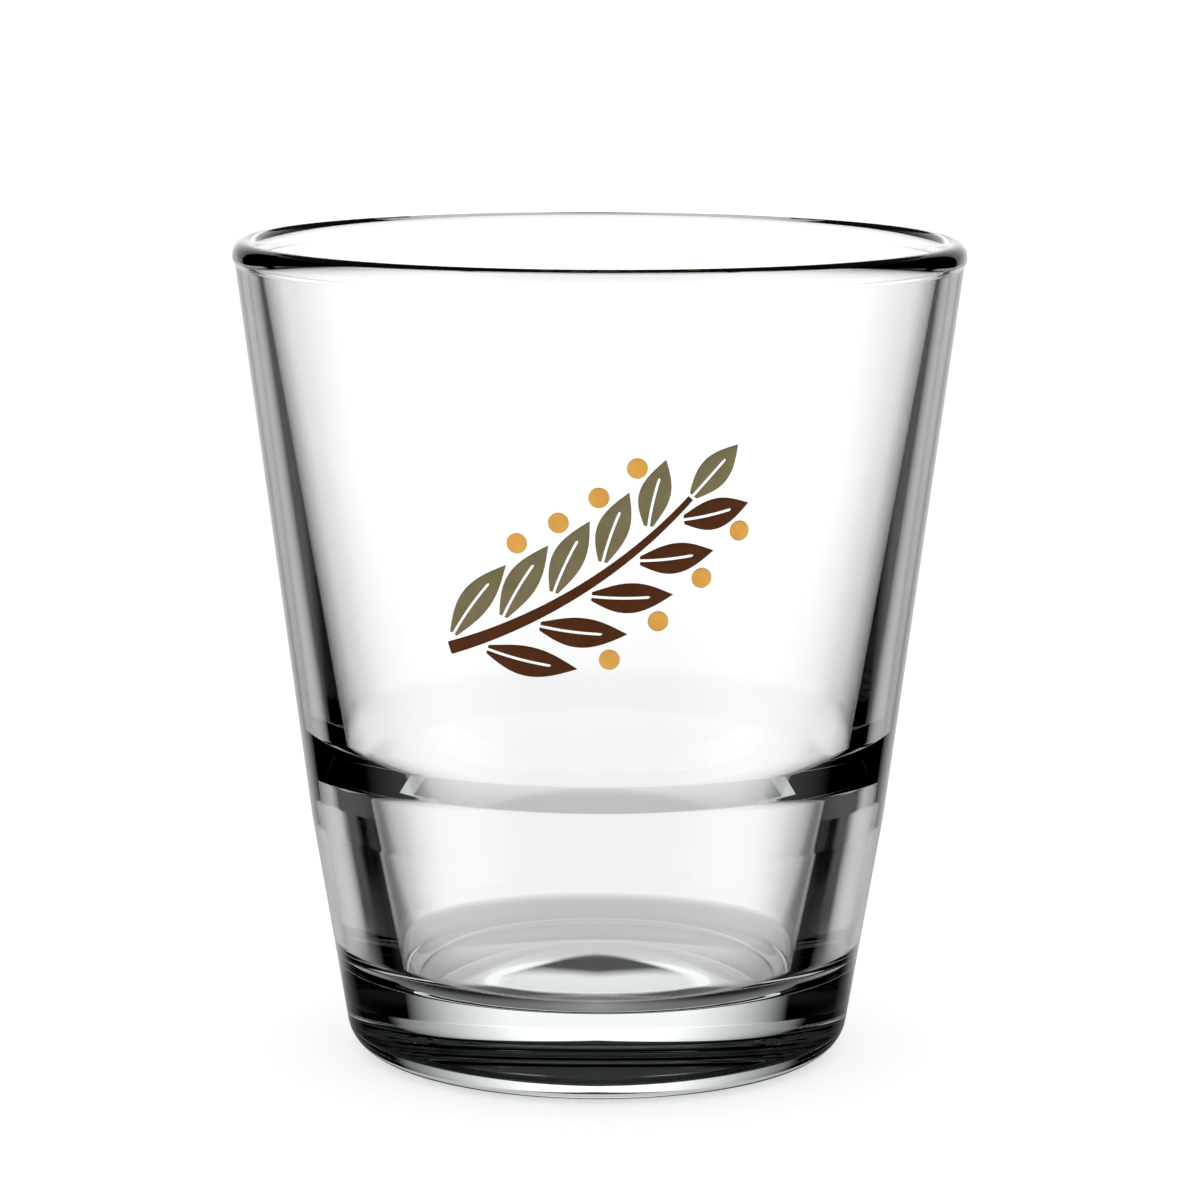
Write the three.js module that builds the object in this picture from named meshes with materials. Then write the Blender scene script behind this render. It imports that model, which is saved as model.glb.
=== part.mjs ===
// Clear pressed-glass stacking tumbler with a fired enamel sprig on the front of its wall.
// Millimetres, +Z up. The origin is on the table, on the tumbler's axis, and the print faces -Y.
import * as THREE from 'three';

// Outside of the glass
const height = 95.6;              // table to the crest of the rim
const rimDiameter = 85;           // over the rim bead
const beadRadius = 1.4;           // half the thickness of the rim bead
const crestRise = 1.85;           // crest of the rim above the widest part of the bead
const beadProud = 0.2;            // how far the bead stands out of the wall under it
const waistDiameter = 67.4;       // where the lower cup's taper meets the flare
const waistHeight = 28;
const baseDiameter = 58;          // where the lower cup's taper would meet the table
const heelRadius = 4.2;           // rounding between the lower cup and the flat underside

// Inside of the glass
const ledgeHeight = 38.3;         // table to the top of the sloping stacking ledge
const wallAtLedge = 4.9;          // wall just above the ledge
const ledgeWidth = 2.0;           // across the ledge, towards the axis
const ledgeDrop = 4.3;            // fall of the ledge over that width
const ledgeFillet = 7.4;          // rounding between the wall and the ledge
const ledgeRounding = 4.3;        // rounding of the ledge's inner edge
const floorHeight = 10.05;        // thickness of the base at the edge of the floor
const wallAtFloor = 7.4;          // wall of the lower cup at the floor
const floorRounding = 4.1;        // rounding between the lower cup and its floor
const floorCrown = 1.3;           // low dome in the middle of the floor

// Enamel print, laid out flat: across to the right, and up the wall
const printBelowRim = 35.4;       // rim crest to the middle of the stem
const printAcross = -2.3;         // front of the wall to the middle of the stem
const enamelThickness = 0.12;
const enamelClearance = 0.06;     // between the enamel and the true round of the glass
const stemLength = 32.5;
const stemTilt = THREE.MathUtils.degToRad(33);
const stemBend = 65;              // radius of the stem's curve
const stemWidthFoot = 1.5;
const stemWidthTip = 0.7;
const leafSpacing = 6.5;          // along the stem, between leaves on one side
const leavesPerSide = 5;
const leafAngle = THREE.MathUtils.degToRad(40);
const leafLengthFoot = 10.2;
const leafLengthTip = 7.6;
const leafGap = 0.75;             // least bare glass between neighbouring leaves
const printGap = 0.35;            // bare glass between a leaf or berry and the stem
const leafBend = 0.12;            // sideways sweep of a leaf, per length
const veinWidth = 0.3;            // bare line along the middle of a leaf
const veinReach = 0.72;           // how far that line runs, per length
const leafFootWidth = 1;
const berryDiameter = 2.3;

// Facets
const turnSteps = 80;
const heelSteps = 8;
const beadSteps = 14;
const ledgeSteps = 3;
const floorSteps = 6;
const leafSteps = 20;
const stemSteps = 16;
const berrySteps = 12;

const glassMaterial = new THREE.MeshStandardMaterial({
  color: 0xf1f8f5, roughness: 0.03, metalness: 0, transparent: true, opacity: 0.35,
});
const enamel = (color) => new THREE.MeshStandardMaterial({ color, roughness: 0.45, metalness: 0 });
const oliveEnamel = 0x776e50;
const ochreEnamel = 0xd9a24e;
const brownEnamel = 0x4e2d17;

// Outside radius of the glass: two straight tapers that meet at the waist.
const beadCentre = new THREE.Vector2(rimDiameter / 2 - beadRadius, height - crestRise);
const wallRadiusAtBead = rimDiameter / 2 - beadProud;
const lowerTaper = (waistDiameter - baseDiameter) / 2 / waistHeight;
const upperTaper = (wallRadiusAtBead - waistDiameter / 2) / (beadCentre.y - waistHeight);
const upperTilt = Math.atan(upperTaper);

function outerRadius(z) {
  const taper = z < waistHeight ? lowerTaper : upperTaper;
  return waistDiameter / 2 + taper * (z - waistHeight);
}

// Rounded corner of the half section: an arc that touches the straight sides before and after the corner.
function roundedCorner(before, corner, after, radius, steps) {
  const toBefore = before.clone().sub(corner).normalize();
  const toAfter = after.clone().sub(corner).normalize();
  const half = Math.acos(toBefore.dot(toAfter)) / 2;
  const centre = toBefore.clone().add(toAfter).setLength(radius / Math.sin(half)).add(corner);
  const start = corner.clone().addScaledVector(toBefore, radius / Math.tan(half));
  const sweep = -Math.sign(toBefore.cross(toAfter)) * (Math.PI - 2 * half);
  const points = [];
  for (let k = 0; k <= steps; k += 1) {
    points.push(start.clone().rotateAround(centre, sweep * k / steps));
  }
  return points;
}

// Rim: round below its widest part and an ellipse above it, from the outside wall over to the inside wall.
function beadPoints(innerTilt) {
  const from = -upperTilt - Math.acos((beadRadius - beadProud) * Math.cos(upperTilt) / beadRadius);
  const to = Math.PI - Math.atan(crestRise / beadRadius * Math.tan(innerTilt));
  const points = [];
  for (let k = 0; k <= beadSteps; k += 1) {
    const angle = from + (to - from) * k / beadSteps;
    const rise = Math.sin(angle) > 0 ? crestRise : beadRadius;
    points.push(new THREE.Vector2(beadRadius * Math.cos(angle), rise * Math.sin(angle)).add(beadCentre));
  }
  return points;
}

// Floor: falls from the dome at the axis to the floor's edge, as (1 - share squared) squared.
function floorPoints(edgeRadius) {
  const points = [];
  for (let k = floorSteps - 1; k >= 0; k -= 1) {
    const share = k / floorSteps;
    points.push(new THREE.Vector2(share * edgeRadius, floorHeight + floorCrown * (1 - share ** 2) ** 2));
  }
  return points;
}

// Half section of the glass, from the axis under the base, up the outside and down the inside.
function glassProfile() {
  const underside = new THREE.Vector2(0, 0);
  const heelCorner = new THREE.Vector2(baseDiameter / 2, 0);
  const waist = new THREE.Vector2(waistDiameter / 2, waistHeight);
  const ledgeOuter = new THREE.Vector2(outerRadius(ledgeHeight) - wallAtLedge, ledgeHeight);
  const ledgeInner = new THREE.Vector2(ledgeOuter.x - ledgeWidth, ledgeHeight - ledgeDrop);
  const floorCorner = new THREE.Vector2(outerRadius(floorHeight) - wallAtFloor, floorHeight);
  const floorMiddle = new THREE.Vector2(0, floorHeight);

  const toBead = beadCentre.clone().sub(ledgeOuter);
  const bead = beadPoints(Math.atan2(toBead.x, toBead.y) - Math.asin(beadRadius / toBead.length()));
  const heel = roundedCorner(underside, heelCorner, waist, heelRadius, heelSteps);
  const wallFoot = roundedCorner(bead[beadSteps], ledgeOuter, ledgeInner, ledgeFillet, ledgeSteps);
  const ledgeEdge = roundedCorner(ledgeOuter, ledgeInner, floorCorner, ledgeRounding, ledgeSteps);
  const corner = roundedCorner(ledgeInner, floorCorner, floorMiddle, floorRounding, heelSteps);
  const floor = floorPoints(corner[heelSteps].x);
  return [underside, ...heel, waist, ...bead, ...wallFoot, ...ledgeEdge, ...corner, ...floor];
}

function glassBody() {
  const geometry = new THREE.LatheGeometry(glassProfile(), turnSteps);
  geometry.rotateX(Math.PI / 2);
  const mesh = new THREE.Mesh(geometry, glassMaterial);
  mesh.name = 'glass_body';
  return mesh;
}

// A point of the flat print, wrapped on the cone of the wall and lifted off it.
function onWall(flat, lift) {
  const z = height - printBelowRim + flat.y * Math.cos(upperTilt);
  const radius = outerRadius(z);
  const turn = (printAcross + flat.x) / radius;
  const reach = radius + lift * Math.cos(upperTilt);
  return [reach * Math.sin(turn), -reach * Math.cos(turn), z - lift * Math.sin(upperTilt)];
}

// One island of enamel: a thin closed slab over a grid that turns anticlockwise seen from outside.
function enamelIsland(name, color, steps, flatPoint) {
  const lifts = [enamelClearance + enamelThickness, enamelClearance];
  const positions = [];
  for (const lift of lifts) {
    for (let i = 0; i <= steps; i += 1) {
      positions.push(...onWall(flatPoint(i / steps, 0), lift), ...onWall(flatPoint(i / steps, 1), lift));
    }
  }
  const under = 2 * (steps + 1);
  const faces = [];
  const quad = (a, b, c, d) => faces.push(a, b, c, a, c, d);
  for (let i = 0; i < steps; i += 1) {
    const [a, b, c, d] = [2 * i, 2 * i + 2, 2 * i + 3, 2 * i + 1];
    quad(a, b, c, d);
    quad(under + a, under + d, under + c, under + b);
    quad(a, under + a, under + b, b);
    quad(c, under + c, under + d, d);
  }
  const last = 2 * steps;
  quad(last, under + last, under + last + 1, last + 1);
  quad(1, under + 1, under, 0);
  const geometry = new THREE.BufferGeometry();
  geometry.setAttribute('position', new THREE.Float32BufferAttribute(positions, 3));
  geometry.setIndex(faces);
  geometry.computeVertexNormals();
  const mesh = new THREE.Mesh(geometry, enamel(color));
  mesh.name = name;
  return mesh;
}

// Middle line of the stem, a circular arc measured along its length from the middle of the print.
function stemPoint(along) {
  const heading = stemTilt + along / stemBend;
  return {
    at: new THREE.Vector2(
      stemBend * (Math.sin(heading) - Math.sin(stemTilt)),
      stemBend * (Math.cos(stemTilt) - Math.cos(heading)),
    ),
    heading,
    halfWidth: THREE.MathUtils.mapLinear(along, -stemLength / 2, stemLength / 2, stemWidthFoot, stemWidthTip) / 2,
  };
}

const direction = (angle) => new THREE.Vector2(Math.cos(angle), Math.sin(angle));

function stem() {
  return enamelIsland('enamel_stem', brownEnamel, stemSteps, (t, side) => {
    const { at, heading, halfWidth } = stemPoint((t - 0.5) * stemLength);
    return at.addScaledVector(direction(heading + Math.PI / 2), (2 * side - 1) * halfWidth);
  });
}

// A leaf: two halves round a bare vein that opens at the foot, its edge swelling as a sine.
function leaf(name, color, foot, heading, length, width, sweep) {
  const along = direction(heading);
  const across = direction(heading + Math.PI / 2);
  return enamelIsland(name, color, leafSteps, (t, edge) => {
    const rise = 1 - Math.abs(2 * t - 1);
    const side = Math.sign(1 - 2 * t);
    const reach = edge ? rise : rise * veinReach;
    const swell = leafFootWidth * (1 - rise) + (width - leafFootWidth / 2) * Math.sin(Math.PI * rise);
    const half = (edge ? Math.min(swell, width) : veinWidth) / 2;
    return foot.clone()
      .addScaledVector(along, reach * length)
      .addScaledVector(across, sweep * leafBend * length * reach ** 2 + side * half);
  });
}

function berry(name, centre) {
  const blunt = Math.PI / berrySteps / 2;
  return enamelIsland(name, ochreEnamel, berrySteps, (t, side) => {
    const angle = blunt + (1 - t) * (Math.PI - 2 * blunt);
    const offset = new THREE.Vector2(Math.cos(angle), (2 * side - 1) * Math.sin(angle));
    return centre.clone().addScaledVector(offset, berryDiameter / 2);
  });
}

// Leaves and berries of one side, +1 above the stem and -1 below it. A berry starts level with its leaf's tip,
// midway to the leaf before it.
function sprigSide(label, side, color, firstAlong) {
  const pieces = [];
  const width = leafSpacing * Math.sin(leafAngle) - leafGap;
  for (let k = 0; k < leavesPerSide; k += 1) {
    const { at, heading, halfWidth } = stemPoint(firstAlong + k * leafSpacing);
    const length = THREE.MathUtils.mapLinear(k, 0, leavesPerSide - 1, leafLengthFoot, leafLengthTip);
    const leafHeading = heading + side * leafAngle;
    const foot = at.clone().addScaledVector(
      direction(heading + side * Math.PI / 2),
      halfWidth + printGap + leafFootWidth / 2 * Math.cos(leafAngle),
    );
    pieces.push(leaf(`enamel_leaf_${label}_${k + 1}`, color, foot, leafHeading, length, width, -side));
    if (k > 0) {
      const tuck = foot.clone().addScaledVector(direction(heading + Math.PI), leafSpacing / 2);
      const centre = tuck.addScaledVector(direction(leafHeading), length + berryDiameter / 2);
      pieces.push(berry(`enamel_berry_${label}_${k}`, centre));
    }
  }
  return pieces;
}

function sprigPrint() {
  const print = new THREE.Group();
  const firstAlong = -stemLength / 2 + 1;
  print.add(stem());
  print.add(...sprigSide('upper', 1, oliveEnamel, firstAlong));
  print.add(...sprigSide('lower', -1, brownEnamel, firstAlong + leafSpacing / 2));
  const tip = stemPoint(stemLength / 2);
  const tipFoot = tip.at.clone().addScaledVector(direction(tip.heading), printGap);
  const tipWidth = leafSpacing * Math.sin(leafAngle) - leafGap;
  print.add(leaf('enamel_leaf_tip', oliveEnamel, tipFoot, tip.heading, leafLengthTip, tipWidth, 0));
  return print;
}

const tumbler = new THREE.Group();
tumbler.add(glassBody());
tumbler.add(sprigPrint());

export default tumbler;
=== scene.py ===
import math
import bpy
import numpy as np
from mathutils import Matrix


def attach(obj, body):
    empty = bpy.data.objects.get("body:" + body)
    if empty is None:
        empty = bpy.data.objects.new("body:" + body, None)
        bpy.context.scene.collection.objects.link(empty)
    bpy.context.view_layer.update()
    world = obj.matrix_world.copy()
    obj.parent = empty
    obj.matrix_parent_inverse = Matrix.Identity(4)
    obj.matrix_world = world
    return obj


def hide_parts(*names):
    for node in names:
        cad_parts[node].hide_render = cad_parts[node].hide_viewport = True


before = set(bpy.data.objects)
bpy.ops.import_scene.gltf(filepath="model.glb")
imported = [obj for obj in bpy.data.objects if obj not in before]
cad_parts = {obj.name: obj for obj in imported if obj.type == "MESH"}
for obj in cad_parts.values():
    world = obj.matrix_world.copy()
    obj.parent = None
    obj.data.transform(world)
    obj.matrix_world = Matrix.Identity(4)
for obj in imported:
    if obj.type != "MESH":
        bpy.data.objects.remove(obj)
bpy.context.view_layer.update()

mm = 0.001
print("frame loaded:", len(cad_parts), "CAD nodes")


# helpers shared by the pieces

def addMesh(name, points, faces, smooth=True):
    mesh = bpy.data.meshes.new(name)
    mesh.from_pydata(points.reshape(-1, 3).tolist(), [], faces)
    mesh.polygons.foreach_set("use_smooth", np.full(len(mesh.polygons), smooth))
    mesh.update()
    piece = bpy.data.objects.new(name, mesh)
    bpy.context.scene.collection.objects.link(piece)
    return piece


def ringFaces(rings, steps):
    # quads between neighbouring closed rings of points, and a fan to a single point at either end;
    # the two end points come after the rings, the lower one first
    row = np.arange(rings - 1)[:, None] * steps
    col = np.arange(steps)
    nextCol = (col + 1) % steps
    quads = np.stack([row + col, row + nextCol, row + steps + nextCol, row + steps + col], axis=2)
    last = (rings - 1) * steps
    fanUnder = np.stack([np.full(steps, rings * steps), nextCol, col], axis=1)
    fanTop = np.stack([np.full(steps, rings * steps + 1), last + col, last + nextCol], axis=1)
    return quads.reshape(-1, 4).tolist() + fanUnder.tolist() + fanTop.tolist()


def newMaterial(name):
    material = bpy.data.materials.new(name)
    material.use_nodes = True
    tree = material.node_tree
    tree.nodes.clear()
    return material, tree


def addNode(tree, kind, **settings):
    node = tree.nodes.new(kind)
    for key, value in settings.items():
        setattr(node, key, value)
    return node


def plug(tree, source, target):
    tree.links.new(source, target)


def calc(tree, operation, first, second=None):
    # one Math node; its inputs are numbers or other nodes' outputs
    node = addNode(tree, "ShaderNodeMath", operation=operation)
    for socket, value in zip(node.inputs, (first, second)):
        if isinstance(value, (int, float)):
            socket.default_value = value
        elif value is not None:
            plug(tree, value, socket)
    return node.outputs[0]


def oneMinus(tree, value):
    return calc(tree, "SUBTRACT", 1.0, value)


def either(tree, share, chosen, other):
    # chosen where the share is 1, other where it is 0
    return calc(tree, "ADD", calc(tree, "MULTIPLY", chosen, share),
                calc(tree, "MULTIPLY", other, oneMinus(tree, share)))


def ramp(tree, value, start, end, low, high, smooth=False):
    # low below start, high above end, straight or eased between them
    node = addNode(tree, "ShaderNodeMapRange", clamp=True)
    node.interpolation_type = "SMOOTHSTEP" if smooth else "LINEAR"
    plug(tree, value, node.inputs["Value"])
    for key, number in zip(("From Min", "From Max", "To Min", "To Max"), (start, end, low, high)):
        node.inputs[key].default_value = number
    return node.outputs["Result"]


def noise(tree, place, size, detail):
    # noise on the piece's own coordinates, its size in mm
    node = addNode(tree, "ShaderNodeTexNoise")
    node.inputs["Scale"].default_value = 1 / (size * mm)
    node.inputs["Detail"].default_value = detail
    plug(tree, place, node.inputs["Vector"])
    return node.outputs["Fac"]


def bumpFrom(tree, height, depth):
    # normal of a surface raised by a noise, its depth in mm
    node = addNode(tree, "ShaderNodeBump")
    node.inputs["Strength"].default_value = 1
    node.inputs["Distance"].default_value = depth * mm
    plug(tree, height, node.inputs["Height"])
    return node.outputs["Normal"]


# camera, at the photograph's viewing angle

view = {
    "distance": 524.1,      # mm along -Y from the tumbler's axis
    "height": 137.9,        # mm above the table
    "lookDown": 9.18,       # degrees under the horizon
    "roll": 0.21,           # the photograph leans a little
    "lens": 135.75,
    "sensor": 36.0,
    "shiftX": 0.00125,
}

cameraData = bpy.data.cameras.new("photoCamera")
cameraData.lens = view["lens"]
cameraData.sensor_width = view["sensor"]
cameraData.shift_x = view["shiftX"]
camera = bpy.data.objects.new("photoCamera", cameraData)
camera.location = (0, -view["distance"] * mm, view["height"] * mm)
lookUp = Matrix.Rotation(math.radians(90 - view["lookDown"]), 3, "X")
camera.rotation_euler = (lookUp @ Matrix.Rotation(math.radians(view["roll"]), 3, "Z")).to_euler()
bpy.context.scene.collection.objects.link(camera)
bpy.context.scene.camera = camera
print("camera placed")


# glass body

glass = {
    "height": 95.6,          # table to the crest of the rim
    "rimDiameter": 85.0,     # over the rim bead
    "beadRadius": 1.4,
    "crestRise": 1.85,       # crest of the rim above the widest part of the bead
    "beadProud": 0.2,        # how far the bead stands out of the wall under it
    "beadHollow": 0.8,       # radius of the hollow between the wall and the bead
    "waistDiameter": 67.4,   # where the lower cup's taper meets the flare
    "waistHeight": 28.0,
    "waistRounding": 12.0,
    "baseDiameter": 58.0,    # where the lower cup's taper would meet the table
    "heelRadius": 4.2,
    "ledgeHeight": 38.3,     # where the upper cup's wall would meet the ledge
    "wallAtLedge": 4.9,      # thickness of the glass there
    "ledgeWidth": 2.0,
    "ledgeDrop": 4.3,        # how far the ledge slopes down to its inner edge
    "ledgeFillet": 7.4,      # rounding between the upper cup's wall and the ledge
    "ledgeRounding": 4.3,    # rounding of the ledge's inner edge
    "floorHeight": 10.05,
    "wallAtFloor": 7.4,      # thickness of the lower wall at the floor
    "floorRounding": 4.1,
    "floorCrown": 1.3,       # rise of the floor's middle
    "turnSteps": 288,        # round the axis
    "underSteps": 6,         # along the section, piece by piece
    "heelSteps": 28,
    "lowerWallSteps": 5,
    "waistSteps": 6,
    "upperWallSteps": 8,
    "hollowSteps": 12,
    "beadSteps": 48,
    "wallFootSteps": 12,
    "slopeSteps": 3,
    "ledgeEdgeSteps": 14,
    "floorArcSteps": 28,
    "crownSteps": 28,
}

lowerTaper = (glass["waistDiameter"] - glass["baseDiameter"]) / 2 / glass["waistHeight"]
beadMiddle = np.array([glass["rimDiameter"] / 2 - glass["beadRadius"],
                       glass["height"] - glass["crestRise"]])
upperRun = beadMiddle[1] - glass["waistHeight"]
upperTaper = (glass["rimDiameter"] / 2 - glass["beadProud"] - glass["waistDiameter"] / 2) / upperRun
upperTilt = math.atan(upperTaper)


def direction(angle):
    return np.stack([np.cos(angle), np.sin(angle)], axis=-1)


def outerRadius(z):
    # straight tapers that meet at the waist
    taper = np.where(z < glass["waistHeight"], lowerTaper, upperTaper)
    return glass["waistDiameter"] / 2 + taper * (z - glass["waistHeight"])


def alongLine(start, end, steps):
    # evenly spaced points between two points, ends left out, each with the direction of travel
    share = np.linspace(0, 1, steps + 1)[1:-1, None]
    run = end[:2] - start[:2]
    return np.hstack([start[:2] + run * share, np.tile(run, (steps - 1, 1))])


def roundedCorner(before, corner, after, radius, steps):
    # arc that touches both sides of a corner: its middle lies on their bisector,
    # radius / sin(half angle) away, and its points carry the direction of travel
    toBefore = (before[:2] - corner) / np.linalg.norm(before[:2] - corner)
    toAfter = (after[:2] - corner) / np.linalg.norm(after[:2] - corner)
    halfAngle = math.acos(float(np.clip(toBefore @ toAfter, -1, 1))) / 2
    bisector = (toBefore + toAfter) / np.linalg.norm(toBefore + toAfter)
    middle = corner + bisector * radius / math.sin(halfAngle)
    arm = corner + toBefore * radius / math.tan(halfAngle) - middle
    spin = np.sign(arm[1] * bisector[0] - arm[0] * bisector[1])
    angle = np.linspace(0, math.pi - 2 * halfAngle, steps + 1) * spin
    out = np.stack([arm[0] * np.cos(angle) - arm[1] * np.sin(angle),
                    arm[0] * np.sin(angle) + arm[1] * np.cos(angle)], axis=1)
    return np.hstack([middle + out, spin * np.stack([-out[:, 1], out[:, 0]], axis=1)])


def rimBead(ledgeOuter):
    # hollow arc out of the outside wall, then the bead: round below its widest part, an ellipse above it.
    # The hollow arc touches the wall and the bead, so its middle is its radius off both.
    g = glass
    bead, hollow = g["beadRadius"], g["beadHollow"]
    outwards = np.array([math.cos(upperTilt), -math.sin(upperTilt)])
    downwards = np.array([-math.sin(upperTilt), -math.cos(upperTilt)])
    off = (bead - g["beadProud"]) * math.cos(upperTilt) + hollow
    toHollow = off * outwards + math.sqrt((bead + hollow) ** 2 - off ** 2) * downwards
    start = math.atan2(toHollow[1], toHollow[0])
    turn = np.linspace(math.pi - upperTilt, math.pi + start, g["hollowSteps"] + 1)[:-1]
    out = direction(turn)
    hollowArc = np.hstack([beadMiddle + toHollow + hollow * out,
                           np.stack([out[:, 1], -out[:, 0]], axis=1)])

    stretch = g["crestRise"] / bead
    toBead = beadMiddle - ledgeOuter
    innerTilt = math.atan2(toBead[0], toBead[1]) - math.asin(bead / np.linalg.norm(toBead))
    end = math.pi - math.atan(stretch * math.tan(innerTilt))
    angle = np.linspace(start, end, g["beadSteps"] + 1)
    tall = np.where(np.sin(angle) > 0, stretch, 1.0)
    out = bead * np.stack([np.cos(angle), tall * np.sin(angle)], axis=1)
    over = np.hstack([beadMiddle + out, np.stack([-np.sin(angle), tall * np.cos(angle)], axis=1)])
    return np.concatenate([hollowArc, over])


def crownedFloor(edgeRadius):
    # low dome, crown times (1 - share squared) squared, from the edge of the floor to the axis
    crown, steps = glass["floorCrown"], glass["crownSteps"]
    share = np.linspace(1, 0, steps + 1)[1:]
    rise = crown * (1 - share ** 2) ** 2
    slope = 4 * crown * share * (1 - share ** 2) / edgeRadius
    return np.stack([share * edgeRadius, glass["floorHeight"] + rise, -np.ones(steps), slope], axis=1)


def glassSection():
    # half section from the axis under the base, up the outside and down the inside:
    # columns of radius, height and the direction of travel
    g = glass
    axisUnder = np.array([0.0, 0.0])
    heelCorner = np.array([g["baseDiameter"] / 2, 0.0])
    waist = np.array([g["waistDiameter"] / 2, g["waistHeight"]])
    ledgeOuter = np.array([outerRadius(g["ledgeHeight"]) - g["wallAtLedge"], g["ledgeHeight"]])
    ledgeInner = ledgeOuter - [g["ledgeWidth"], g["ledgeDrop"]]
    floorCorner = np.array([outerRadius(g["floorHeight"]) - g["wallAtFloor"], g["floorHeight"]])
    floorMiddle = np.array([0.0, g["floorHeight"]])

    bead = rimBead(ledgeOuter)
    heel = roundedCorner(axisUnder, heelCorner, waist, g["heelRadius"], g["heelSteps"])
    waistArc = roundedCorner(heelCorner, waist, bead[0], g["waistRounding"], g["waistSteps"])
    wallFoot = roundedCorner(bead[-1], ledgeOuter, ledgeInner, g["ledgeFillet"], g["wallFootSteps"])
    ledgeEdge = roundedCorner(ledgeOuter, ledgeInner, floorCorner,
                              g["ledgeRounding"], g["ledgeEdgeSteps"])
    floorArc = roundedCorner(ledgeInner, floorCorner, floorMiddle, g["floorRounding"], g["floorArcSteps"])
    return np.concatenate([
        [[0.0, 0.0, 1.0, 0.0]], alongLine(axisUnder, heel[0], g["underSteps"]),
        heel, alongLine(heel[-1], waistArc[0], g["lowerWallSteps"]),
        waistArc, alongLine(waistArc[-1], bead[0], g["upperWallSteps"]),
        bead, alongLine(bead[-1], wallFoot[0], g["upperWallSteps"]),
        wallFoot, alongLine(wallFoot[-1], ledgeEdge[0], g["slopeSteps"]),
        ledgeEdge, alongLine(ledgeEdge[-1], floorArc[0], g["lowerWallSteps"]),
        floorArc, crownedFloor(floorArc[-1, 0]),
    ])


def turnedBody(name, section, steps):
    # section carried round the axis; its first and last points are single points on the axis.
    # The shading normal is the direction of travel turned a quarter outwards,
    # so arcs and cones meet smoothly.
    around = np.linspace(0, 2 * math.pi, steps, endpoint=False)
    ring = section[1:-1]
    travel = ring[:, 2:] / np.linalg.norm(ring[:, 2:], axis=1, keepdims=True)

    def carry(outwards, upwards):
        return np.stack([outwards[:, None] * np.cos(around), outwards[:, None] * np.sin(around),
                         np.repeat(upwards[:, None], steps, axis=1)], axis=2).reshape(-1, 3)

    poles = np.array([[0, 0, section[0, 1]], [0, 0, section[-1, 1]]])
    points = np.concatenate([carry(ring[:, 0], ring[:, 1]), poles]) * mm
    normals = np.concatenate([carry(travel[:, 1], -travel[:, 0]), [[0, 0, -1], [0, 0, 1]]])
    piece = addMesh(name, points, ringFaces(len(ring), steps))
    piece.data.normals_split_custom_set_from_vertices(normals.tolist())
    return piece


glassFinish = {
    "ior": 1.52,
    "absorbColour": (0.62, 0.92, 0.86, 1.0),
    "absorbDensity": 3.0,   # per metre
    "waveSize": 14.0,       # mm between the soft ripples that pressing leaves
    "waveDepth": 0.004,     # mm
    "waveDetail": 1,
}


def clearGlass():
    # clear glass that keeps a little green in its thickness, with the soft ripples of pressing
    f = glassFinish
    material, tree = newMaterial("clearGlass")
    output = addNode(tree, "ShaderNodeOutputMaterial")
    shader = addNode(tree, "ShaderNodeBsdfPrincipled")
    shader.inputs["Base Color"].default_value = (1, 1, 1, 1)
    shader.inputs["Roughness"].default_value = 0
    shader.inputs["IOR"].default_value = f["ior"]
    shader.inputs["Transmission Weight"].default_value = 1
    place = addNode(tree, "ShaderNodeTexCoord").outputs["Object"]
    wave = noise(tree, place, f["waveSize"], f["waveDetail"])
    plug(tree, bumpFrom(tree, wave, f["waveDepth"]), shader.inputs["Normal"])
    absorb = addNode(tree, "ShaderNodeVolumeAbsorption")
    absorb.inputs["Color"].default_value = f["absorbColour"]
    absorb.inputs["Density"].default_value = f["absorbDensity"]
    plug(tree, shader.outputs["BSDF"], output.inputs["Surface"])
    plug(tree, absorb.outputs["Volume"], output.inputs["Volume"])
    return material


glassBody = turnedBody("tumblerGlass", glassSection(), glass["turnSteps"])
glassBody.data.materials.append(clearGlass())
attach(glassBody, "root")
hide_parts("glass_body")
print("glass turned:", len(glassBody.data.polygons), "faces")


# enamel sprig, laid out flat and wrapped on the wall; lengths in mm, angles in degrees

sprig = {
    "belowRim": 35.4,        # rim crest to the middle of the stem
    "across": -2.3,          # front of the wall to the middle of the stem
    "stemLength": 32.5,
    "stemTilt": 33.0,
    "stemBend": 65.0,        # radius of the stem's curve
    "stemWidthFoot": 1.5,
    "stemWidthTip": 0.7,
    "firstLeaf": 1.0,        # foot of the stem to the first leaf
    "leafSpacing": 6.5,
    "leavesPerSide": 5,
    "leafAngle": 40.0,
    "leafLengthFoot": 10.2,
    "leafLengthTip": 7.6,
    "leafGap": 0.75,         # between neighbouring leaves
    "printGap": 0.35,        # between the stem and a leaf
    "leafBend": 0.12,        # sideways sweep of a leaf, per length
    "veinWidth": 0.3,
    "veinReach": 0.72,       # how far the bare vein runs, per length
    "leafFootWidth": 1.0,
    "berryDiameter": 2.3,
    "enamelTop": 0.12,       # over the glass
    "enamelSunk": 0.02,      # fused into the glass
    "stepsAlong": 64,
    "stepsAcross": 8,
}

stemTilt = math.radians(sprig["stemTilt"])
leafAngle = math.radians(sprig["leafAngle"])
leafWidth = sprig["leafSpacing"] * math.sin(leafAngle) - sprig["leafGap"]


def onWall(flat, lift):
    # flat print wrapped on the cone of the wall:
    # the turn is the distance across over the wall's radius there
    z = glass["height"] - sprig["belowRim"] + flat[..., 1] * math.cos(upperTilt)
    radius = outerRadius(z)
    turn = (sprig["across"] + flat[..., 0]) / radius
    reach = radius + lift * math.cos(upperTilt)
    place = [reach * np.sin(turn), -reach * np.cos(turn), z - lift * math.sin(upperTilt)]
    return np.stack(place, axis=-1) * mm


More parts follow.
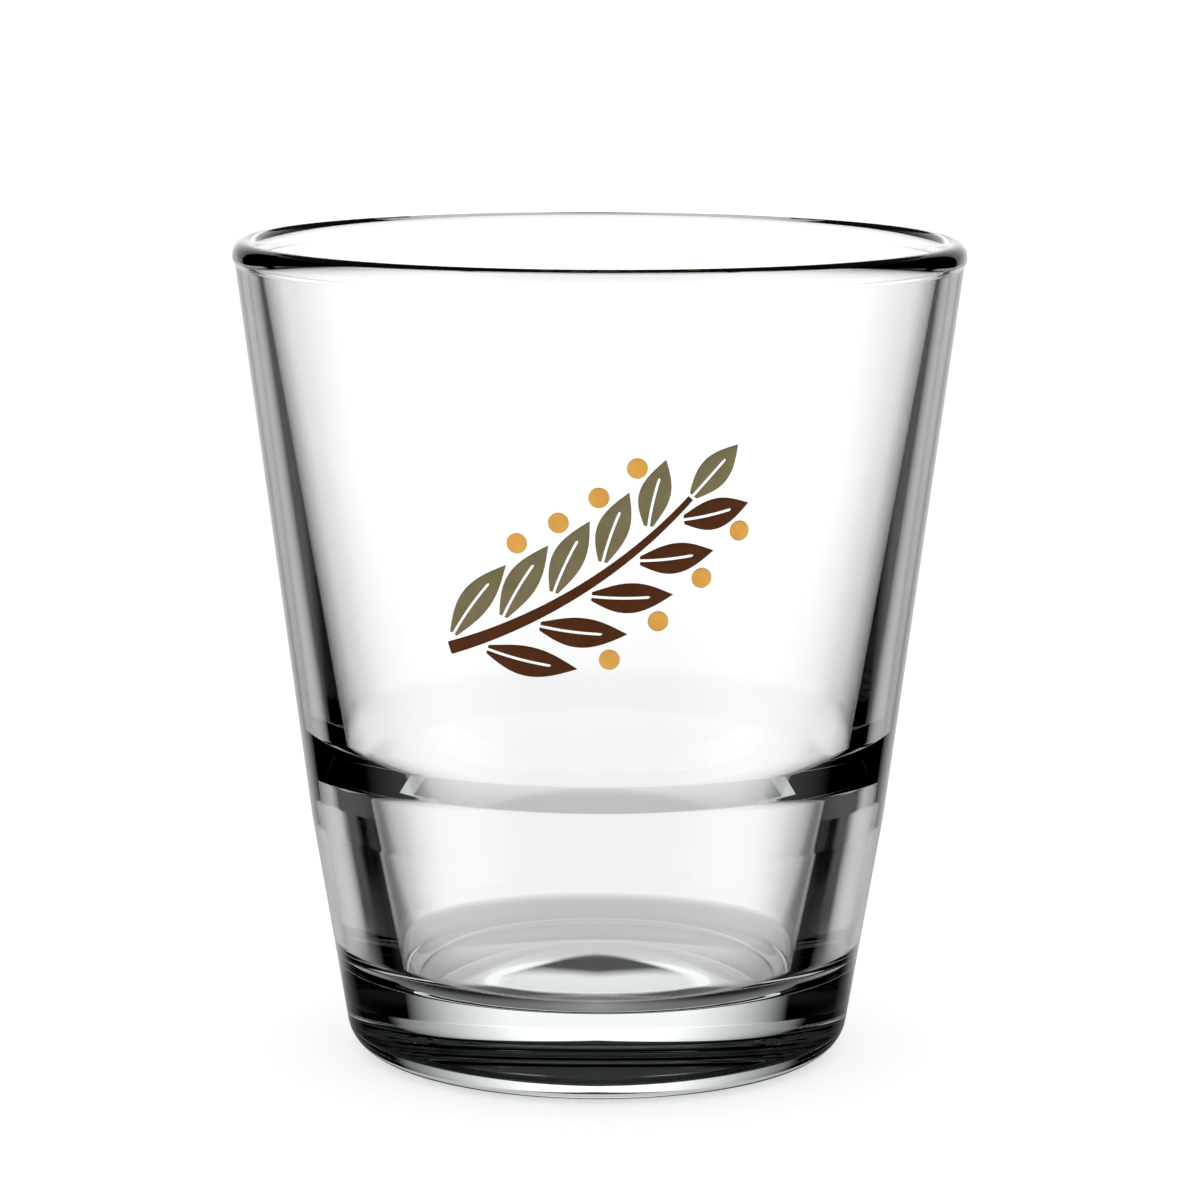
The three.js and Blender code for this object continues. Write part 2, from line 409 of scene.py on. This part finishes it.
def enamelIsland(name, node, finish, inner, outer, dome=None):
    # strip of enamel between two flat curves; across it the top swells as a flat-topped dome, the root of
    # (1 - the fourth power of the distance from the middle), down to edges fused into the glass
    share = 0.5 - 0.5 * np.cos(np.linspace(0, math.pi, sprig["stepsAcross"] + 1))
    flat = inner[:, None] + (outer - inner)[:, None] * share[:, None]
    swell = np.sqrt(1 - np.abs(2 * share - 1) ** 4) if dome is None else dome(flat)
    rows, cols = flat.shape[:2]
    thickness = sprig["enamelTop"] + sprig["enamelSunk"]
    lift = np.broadcast_to(swell, (rows, cols)) * thickness - sprig["enamelSunk"]
    grid = np.arange(rows * cols).reshape(rows, cols)
    top = np.stack([grid[:-1, :-1], grid[1:, :-1], grid[1:, 1:], grid[:-1, 1:]], axis=2).reshape(-1, 4)
    under = np.stack([grid[:-1, 0], grid[:-1, -1], grid[1:, -1], grid[1:, 0]], axis=1)
    caps = [grid[0].tolist(), grid[-1, ::-1].tolist()]
    piece = addMesh(name, onWall(flat, lift), top.tolist() + under.tolist() + caps)
    piece.data.materials.append(finish["material"])
    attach(piece, "root")
    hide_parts(node)


def stemPoint(along):
    # middle line of the stem, a circular arc measured from its middle: places, headings and half widths
    s = sprig
    heading = stemTilt + along / s["stemBend"]
    place = s["stemBend"] * np.stack([np.sin(heading) - math.sin(stemTilt),
                                      math.cos(stemTilt) - np.cos(heading)], axis=-1)
    share = along / s["stemLength"] + 0.5
    return place, heading, (s["stemWidthFoot"] + (s["stemWidthTip"] - s["stemWidthFoot"]) * share) / 2


def leafCurves(foot, heading, length, sweep):
    # the bare vein and the leaf's edge, from the foot round the tip and back; the edge swells as a sine
    s = sprig
    t = np.linspace(0, 1, s["stepsAlong"] + 1)
    rise = 1 - np.abs(2 * t - 1)
    side = np.sign(1 - 2 * t)
    belly = leafWidth - s["leafFootWidth"] / 2
    swell = s["leafFootWidth"] * (1 - rise) + belly * np.sin(math.pi * rise)

    def curve(reach, half):
        bend = sweep * s["leafBend"] * length * reach ** 2
        ahead = np.outer(reach * length, direction(heading))
        return foot + ahead + np.outer(bend + side * half, direction(heading + math.pi / 2))

    return curve(rise * s["veinReach"], s["veinWidth"] / 2), curve(rise, np.minimum(swell, leafWidth) / 2)


def berryCurves(centre):
    # lower and upper half circles; the dome falls from the middle to the rim
    radius = sprig["berryDiameter"] / 2
    blunt = math.pi / sprig["stepsAlong"] / 2
    arc = direction(np.linspace(math.pi - blunt, blunt, sprig["stepsAlong"] // 2 + 1)) * radius

    def dome(flat):
        return np.sqrt(np.clip(1 - (np.linalg.norm(flat - centre, axis=2) / radius) ** 4, 0, 1))

    return centre + arc * [1, -1], centre + arc, dome


enamelFinish = {
    "oliveEnamel": {"slot": "olive_enamel", "colour": (0.183, 0.153, 0.074)},
    "ochreEnamel": {"slot": "ochre_enamel", "colour": (0.702, 0.355, 0.063)},
    "brownEnamel": {"slot": "brown_enamel", "colour": (0.080, 0.020, 0.002)},
    "cloudSize": 2.2,        # mm, uneven thickness of the fired colour
    "cloudDepth": 0.10,      # share of the colour
    "cloudLow": 0.3,         # noise values between which the colour changes
    "cloudHigh": 0.7,
    "cloudDetail": 4,
    "grainSize": 0.16,       # mm, the screen's grain
    "grainDepth": 0.006,     # mm
    "grainDetail": 2,
    "roughLow": 0.30,
    "roughHigh": 0.46,
    "specular": 0.2,
}


def enamel(name, colour):
    # fired colour with uneven thickness, gloss that follows it, and the screen's fine grain
    f = enamelFinish
    material, tree = newMaterial(name)
    output = addNode(tree, "ShaderNodeOutputMaterial")
    shader = addNode(tree, "ShaderNodeBsdfPrincipled")
    place = addNode(tree, "ShaderNodeTexCoord").outputs["Object"]
    cloud = noise(tree, place, f["cloudSize"], f["cloudDetail"])
    grain = noise(tree, place, f["grainSize"], f["grainDetail"])
    rough = ramp(tree, cloud, f["cloudLow"], f["cloudHigh"], f["roughLow"], f["roughHigh"])
    shade = addNode(tree, "ShaderNodeMix", data_type="RGBA")
    shade.inputs["A"].default_value = (*[c * (1 - f["cloudDepth"]) for c in colour], 1)
    shade.inputs["B"].default_value = (*[c * (1 + f["cloudDepth"]) for c in colour], 1)
    plug(tree, ramp(tree, cloud, f["cloudLow"], f["cloudHigh"], 0, 1), shade.inputs["Factor"])
    plug(tree, shade.outputs["Result"], shader.inputs["Base Color"])
    plug(tree, rough, shader.inputs["Roughness"])
    shader.inputs["Specular IOR Level"].default_value = f["specular"]
    plug(tree, bumpFrom(tree, grain, f["grainDepth"]), shader.inputs["Normal"])
    plug(tree, shader.outputs["BSDF"], output.inputs["Surface"])
    return material


for finishName in ("oliveEnamel", "ochreEnamel", "brownEnamel"):
    enamelFinish[finishName]["material"] = enamel(finishName, enamelFinish[finishName]["colour"])

olive, ochre, brown = (enamelFinish[key] for key in ("oliveEnamel", "ochreEnamel", "brownEnamel"))


def printStem():
    # strip of half the width to either side of the stem's middle line
    along = (np.linspace(0, 1, sprig["stepsAlong"] + 1) - 0.5) * sprig["stemLength"]
    place, heading, halfWidth = stemPoint(along)
    aside = direction(heading + math.pi / 2) * halfWidth[:, None]
    enamelIsland("printStem", "enamel_stem", brown, place - aside, place + aside)


def printSide(label, side, finish, firstAlong):
    # leaves and berries of one side, +1 above the stem and -1 below it: each leaf stands off the stem
    # at the leaf angle, and from the second on a berry sits past the leaf's tip, half a spacing back
    s = sprig
    row = label.lower()
    for k in range(s["leavesPerSide"]):
        place, heading, halfWidth = stemPoint(firstAlong + k * s["leafSpacing"])
        share = k / (s["leavesPerSide"] - 1)
        length = s["leafLengthFoot"] + (s["leafLengthTip"] - s["leafLengthFoot"]) * share
        leafHeading = heading + side * leafAngle
        clear = halfWidth + s["printGap"] + s["leafFootWidth"] / 2 * math.cos(leafAngle)
        foot = place + direction(heading + side * math.pi / 2) * clear
        inner, outer = leafCurves(foot, leafHeading, length, -side)
        enamelIsland(f"printLeaf{label}{k + 1}", f"enamel_leaf_{row}_{k + 1}", finish, inner, outer)
        if k > 0:
            tuck = foot - direction(heading) * s["leafSpacing"] / 2
            centre = tuck + direction(leafHeading) * (length + s["berryDiameter"] / 2)
            lower, upper, dome = berryCurves(centre)
            enamelIsland(f"printBerry{label}{k}", f"enamel_berry_{row}_{k}", ochre, lower, upper, dome)


def printTip():
    # straight leaf at the end of the stem
    place, heading, _ = stemPoint(sprig["stemLength"] / 2)
    foot = place + direction(heading) * sprig["printGap"]
    inner, outer = leafCurves(foot, heading, sprig["leafLengthTip"], 0)
    enamelIsland("printLeafTip", "enamel_leaf_tip", olive, inner, outer)


firstLeaf = -sprig["stemLength"] / 2 + sprig["firstLeaf"]
printStem()
printSide("Upper", 1, olive, firstLeaf)
printSide("Lower", -1, brown, firstLeaf + sprig["leafSpacing"] / 2)
printTip()
print("enamel printed:", 2 * sprig["leavesPerSide"] + 2 + 2 * (sprig["leavesPerSide"] - 1), "islands")


# studio: a bright backdrop behind the glass, dark cards beside it and white paper under it.
# It stands still for every view. Degrees aside are counted from straight behind the glass,
# as the photograph sees it.

studio = {
    "shellRadius": 20.0,     # metres, so far that its light depends on direction alone
    "shellRows": 33,
    "shellCols": 64,
    "upperWhite": 1.24,
    "upperFull": 9.5,        # degrees aside up to which the backdrop is full
    "upperNone": 52.8,       # and where it ends
    "upperFall": 1.9,        # power of its fall to the sides
    "topEdge": 14.2,         # degrees up where the backdrop ends behind the object
    "topSlant": 0.475,       # how much higher it reaches for each degree sideways
    "topSoft": 1.8,
    "ceiling": 0.03,
    "lowerWhite": 1.25,      # the lit paper beyond the object, as the backdrop
    "lowerFull": 12.5,
    "lowerNone": 35.3,
    "lowerFall": 1.27,       # power of its loss to the sides
    "mirrorWhite": 0.86,     # the same for light that the glass reflects
    "mirrorFall": 3.0,
    "stripTop": -21.6,       # degrees up; a dark strip crosses that paper at the sides
    "stripFoot": -26.0,
    "stripSoft": 1.5,
    "stripFrom": 15.5,       # degrees aside where it sets in
    "stripTo": 20.0,
    "roomFrom": 76.0,        # degrees aside where the paper is lit again
    "roomTo": 97.0,
    "roomLevel": 0.85,
    "frontFrom": 115.0,      # and where it falls off to the front
    "frontTo": 150.0,
    "frontLevel": 0.13,
    "roundFrom": 38.0,       # degrees aside where paper begins that only unreflected light sees
    "roundTo": 43.0,
    "roundTop": -4.0,        # degrees up where that paper ends
    "roundSoft": 3.0,
    "wallFrom": 82.0,        # degrees aside where a wall stands behind it
    "wallTo": 90.0,
    "wallTop": 16.0,
    "steepFrom": -32.0,      # degrees up below which it closes all round
    "steepTo": -40.0,
    "nearFrom": 46.0,        # degrees aside between which painted shade on the paper near the base dims it
    "nearTo": 82.0,
    "nearSoft": 9.0,
    "nearShade": 0.6,
    "nearReach": 76.0,       # mm
    "nearReachEnd": 112.0,
    "baseShade": 44.0,       # mm; paper under and round the base, with the object's shadow painted on it
    "baseShadeEnd": 62.0,
    "baseLevel": 0.64,
    "baseSlant": 1.04,       # its painted light falls off towards the front and the sides
    "baseDark": -39.9,
    "baseLit": -5.4,
    "coreShade": 0.6,        # painted shadow, darker in the middle, under the base
    "coreSize": 24.4,
    "paperNear": 0.84,       # share of the light on the paper near the object, dimmed there by painted shade
    "paperNearEnd": 120.0,
    "paperFull": 329.0,
    "matSteps": 96,
    "matDepth": 0.05,        # mm under the floor
    "cardSide": 314.0,       # mm; two dark cards stand beside the backdrop
    "cardFront": 43.0,
    "cardBack": 412.0,
    "cardTop": 346.0,
    "floorSize": 12.0,       # metres
    "floorColour": 0.8,
    "floorLift": 0.42,
    "ambient": 0.92,
    "bounces": 8,
}


def shellMesh(name, radius, rows, cols):
    # sphere of two parameters, longitude and latitude, with a single point at either pole
    lon = np.linspace(0, 2 * math.pi, cols, endpoint=False)
    lat = np.linspace(-math.pi / 2, math.pi / 2, rows)[1:-1]
    grid = np.stack([
        np.cos(lat)[:, None] * np.cos(lon),
        np.cos(lat)[:, None] * np.sin(lon),
        np.repeat(np.sin(lat)[:, None], cols, axis=1),
    ], axis=2).reshape(-1, 3)
    points = np.concatenate([grid, [[0, 0, -1], [0, 0, 1]]]) * radius
    return addMesh(name, points, ringFaces(len(lat), cols))


def setPlace(tree):
    # place in the set as a vector, and its distances aside, back and up
    place = addNode(tree, "ShaderNodeTexCoord").outputs["Object"]
    split = addNode(tree, "ShaderNodeSeparateXYZ")
    plug(tree, place, split.inputs[0])
    return place, calc(tree, "ABSOLUTE", split.outputs["X"]), split.outputs["Y"], split.outputs["Z"]


def degreesAside(tree, aside, back):
    return calc(tree, "MULTIPLY", calc(tree, "ARCTAN2", aside, back), 180 / math.pi)


def unreflected(tree):
    # 1 for light that no glossy surface has reflected, 0 for the rest
    path = addNode(tree, "ShaderNodeLightPath")
    return calc(tree, "LESS_THAN", path.outputs["Glossy Depth"], 0.5)


def glow(tree, level):
    emit = addNode(tree, "ShaderNodeEmission")
    plug(tree, level, emit.inputs["Strength"])
    return emit.outputs[0]


def stageMaterial(material, tree, surface):
    output = addNode(tree, "ShaderNodeOutputMaterial")
    plug(tree, surface, output.inputs["Surface"])
    material.cycles.emission_sampling = "NONE"
    return material


def studioLight():
    # backdrop above the horizon, fading to the sides as a power of the angle left, and lit paper
    # below it, losing light as a power of the angle passed. Unreflected light also sees lit paper
    # all round, further aside. Light from a matt surface sees the even light of the room.
    s = studio
    material, tree = newMaterial("studioShell")
    _, aside, back, up = setPlace(tree)
    azimuth = degreesAside(tree, aside, back)
    height = calc(tree, "DIVIDE", up, s["shellRadius"])
    elevation = calc(tree, "MULTIPLY", calc(tree, "ARCSINE", height), 180 / math.pi)

    slanted = calc(tree, "SUBTRACT", elevation, calc(tree, "MULTIPLY", azimuth, s["topSlant"]))
    top = ramp(tree, slanted, s["topEdge"], s["topEdge"] + s["topSoft"], 1, 0)
    fade = calc(tree, "POWER", ramp(tree, azimuth, s["upperFull"], s["upperNone"], 1, 0), s["upperFall"])
    backdrop = calc(tree, "MULTIPLY", fade, s["upperWhite"])
    upper = calc(tree, "ADD", calc(tree, "MULTIPLY", backdrop, top), s["ceiling"])

    passed = ramp(tree, azimuth, s["lowerFull"], s["lowerNone"], 0, 1)
    plain = oneMinus(tree, calc(tree, "POWER", passed, s["lowerFall"]))
    plain = calc(tree, "MULTIPLY", plain, s["lowerWhite"])
    mirrored = oneMinus(tree, calc(tree, "POWER", passed, s["mirrorFall"]))
    mirrored = calc(tree, "MULTIPLY", mirrored, s["mirrorWhite"])
    strip = calc(tree, "MULTIPLY",
                 ramp(tree, elevation, s["stripTop"] - s["stripSoft"], s["stripTop"], 1, 0),
                 ramp(tree, elevation, s["stripFoot"] - s["stripSoft"], s["stripFoot"], 0, 1))
    strip = calc(tree, "MULTIPLY", strip, ramp(tree, azimuth, s["stripFrom"], s["stripTo"], 0, 1))
    mirrored = calc(tree, "MULTIPLY", mirrored, oneMinus(tree, strip))
    straight = unreflected(tree)
    paper = either(tree, straight, plain, mirrored)
    sides = calc(tree, "MINIMUM", ramp(tree, azimuth, s["roomFrom"], s["roomTo"], 0, s["roomLevel"]),
                 ramp(tree, azimuth, s["frontFrom"], s["frontTo"], s["roomLevel"], s["frontLevel"]))
    lower = calc(tree, "ADD", paper, sides)
    level = either(tree, calc(tree, "GREATER_THAN", elevation, 0.0), upper, lower)

    beyond = ramp(tree, azimuth, s["roundFrom"], s["roundTo"], 0, 1)
    around = calc(tree, "MULTIPLY", beyond,
                  ramp(tree, elevation, s["roundTop"] - s["roundSoft"], s["roundTop"], 1, 0))
    wall = calc(tree, "MULTIPLY", ramp(tree, azimuth, s["wallFrom"], s["wallTo"], 0, 1),
                ramp(tree, elevation, s["wallTop"], s["wallTop"] + s["topSoft"], 1, 0))
    around = calc(tree, "MAXIMUM", around, wall)
    around = calc(tree, "MAXIMUM", around, ramp(tree, elevation, s["steepTo"], s["steepFrom"], 1, 0))
    around = calc(tree, "MULTIPLY", calc(tree, "MULTIPLY", around, straight), s["lowerWhite"])
    beyond = calc(tree, "MULTIPLY", beyond, straight)
    level = calc(tree, "MAXIMUM", calc(tree, "MULTIPLY", level, oneMinus(tree, beyond)), around)

    path = addNode(tree, "ShaderNodeLightPath")
    matt = calc(tree, "MINIMUM", path.outputs["Diffuse Depth"], 1.0)
    level = calc(tree, "MAXIMUM", calc(tree, "MULTIPLY", level, oneMinus(tree, matt)),
                 calc(tree, "MULTIPLY", matt, s["ambient"]))
    return stageMaterial(material, tree, glow(tree, level))


def matPaper():
    # paper as the glass shows it, its light and the object's shadow painted into its glow. Round the base
    # it is painted lit from behind and painted dark at the sides, the front and the middle; further out
    # it lets rays on to the lit paper beyond and only dims them near the object, and at the sides dims
    # unreflected light more.
    s = studio
    material, tree = newMaterial("matPaper")
    place, aside, back, _ = setPlace(tree)
    reach = addNode(tree, "ShaderNodeVectorMath", operation="LENGTH")
    plug(tree, place, reach.inputs[0])
    reach = reach.outputs["Value"]
    behind = calc(tree, "SUBTRACT", back, calc(tree, "MULTIPLY", aside, s["baseSlant"]))
    # painted light: the paper's glow round the base, brighter towards the back
    lit = ramp(tree, behind, s["baseDark"] * mm, s["baseLit"] * mm, 0, s["baseLevel"])
    # painted shadow under the middle of the base
    core = ramp(tree, reach, 0, s["coreSize"] * mm, s["coreShade"], 0, True)
    shade = glow(tree, calc(tree, "MAXIMUM", calc(tree, "SUBTRACT", lit, core), 0.0))

    # painted shade: the paper near the object passes less light
    nearPaintedShade = ramp(tree, reach, s["paperNearEnd"] * mm, s["paperFull"] * mm, s["paperNear"], 1)
    side = degreesAside(tree, aside, back)
    # painted shade at the sides near the base, for unreflected light
    sidePaintedShade = calc(tree, "MULTIPLY", ramp(tree, side, s["nearFrom"], s["nearFrom"] + s["nearSoft"], 0, 1),
                  ramp(tree, side, s["nearTo"] - s["nearSoft"], s["nearTo"], 1, 0))
    near = ramp(tree, reach, s["nearReach"] * mm, s["nearReachEnd"] * mm, s["nearShade"], 0, True)
    sidePaintedShade = calc(tree, "MULTIPLY", calc(tree, "MULTIPLY", sidePaintedShade, near), unreflected(tree))
    veil = addNode(tree, "ShaderNodeBsdfTransparent")
    plug(tree, calc(tree, "MULTIPLY", nearPaintedShade, oneMinus(tree, sidePaintedShade)), veil.inputs["Color"])

    edge = addNode(tree, "ShaderNodeMixShader")
    outside = ramp(tree, reach, s["baseShade"] * mm, s["baseShadeEnd"] * mm, 0, 1, True)
    plug(tree, outside, edge.inputs["Fac"])
    plug(tree, shade, edge.inputs[1])
    plug(tree, veil.outputs[0], edge.inputs[2])
    return stageMaterial(material, tree, edge.outputs[0])


def floorPaper():
    # pale paper with a little light of its own, which keeps the shadow
    material, tree = newMaterial("floorPaper")
    paper = addNode(tree, "ShaderNodeBsdfDiffuse")
    paper.inputs["Color"].default_value = (*[studio["floorColour"]] * 3, 1)
    lift = addNode(tree, "ShaderNodeEmission")
    lift.inputs["Strength"].default_value = studio["floorLift"]
    seen = addNode(tree, "ShaderNodeAddShader")
    plug(tree, paper.outputs[0], seen.inputs[0])
    plug(tree, lift.outputs[0], seen.inputs[1])
    return stageMaterial(material, tree, seen.outputs[0])


def blackCard():
    # card that is black for reflected light and clear for the rest
    material, tree = newMaterial("darkCard")
    face = addNode(tree, "ShaderNodeEmission")
    face.inputs["Strength"].default_value = 0
    clear = addNode(tree, "ShaderNodeBsdfTransparent")
    card = addNode(tree, "ShaderNodeMixShader")
    plug(tree, unreflected(tree), card.inputs["Fac"])
    plug(tree, face.outputs[0], card.inputs[1])
    plug(tree, clear.outputs[0], card.inputs[2])
    return stageMaterial(material, tree, card.outputs[0])


def inSet(piece, material):
    # part of the set that only the glass shows: no other ray sees it
    piece.data.materials.append(material)
    piece.visible_camera = False
    piece.visible_diffuse = False
    piece.visible_shadow = False
    piece.visible_volume_scatter = False


shell = shellMesh("studioShell", studio["shellRadius"], studio["shellRows"], studio["shellCols"])
inSet(shell, studioLight())

matSteps = studio["matSteps"]
matEdge = direction(np.linspace(0, 2 * math.pi, matSteps, endpoint=False)) * studio["paperFull"]
matPoints = np.hstack([matEdge, np.full((matSteps, 1), -studio["matDepth"])]) * mm
inSet(addMesh("floorMat", matPoints, [list(range(matSteps))], False), matPaper())

cardFace = blackCard()
cardDepth = np.array([studio[key] for key in ("cardFront", "cardBack", "cardBack", "cardFront")])
cardRise = np.array([0, 0, studio["cardTop"], studio["cardTop"]])
for label, side in (("Left", -1), ("Right", 1)):
    cardPoints = np.stack([np.full(4, side * studio["cardSide"]), cardDepth, cardRise], axis=1) * mm
    inSet(addMesh("darkCard" + label, cardPoints, [[0, 1, 2, 3]], False), cardFace)

half = studio["floorSize"] / 2
floorPoints = np.array([[-half, -half, 0], [half, -half, 0], [half, half, 0], [-half, half, 0]])
floor = addMesh("floor", floorPoints, [[0, 1, 2, 3]], False)
floor.data.materials.append(floorPaper())
floor.visible_glossy = False  # the glass sees the mat and the shell in its place
floor.visible_transmission = False

# even light of the room, and plain white where the camera sees it
world = bpy.data.worlds.new("studioRoom")
world.use_nodes = True
bpy.context.scene.world = world
worldTree = world.node_tree
worldTree.nodes.clear()
worldOut = addNode(worldTree, "ShaderNodeOutputWorld")
room = addNode(worldTree, "ShaderNodeBackground")
room.inputs["Color"].default_value = (1, 1, 1, 1)
roomPath = addNode(worldTree, "ShaderNodeLightPath")
roomLevel = ramp(worldTree, roomPath.outputs["Is Camera Ray"], 0, 1, studio["ambient"], 1)
plug(worldTree, roomLevel, room.inputs["Strength"])
plug(worldTree, room.outputs[0], worldOut.inputs["Surface"])

scene = bpy.context.scene
scene.view_settings.view_transform = "Standard"
scene.cycles.max_bounces = studio["bounces"]
scene.cycles.transmission_bounces = studio["bounces"]
scene.cycles.glossy_bounces = studio["bounces"]
print("studio set")
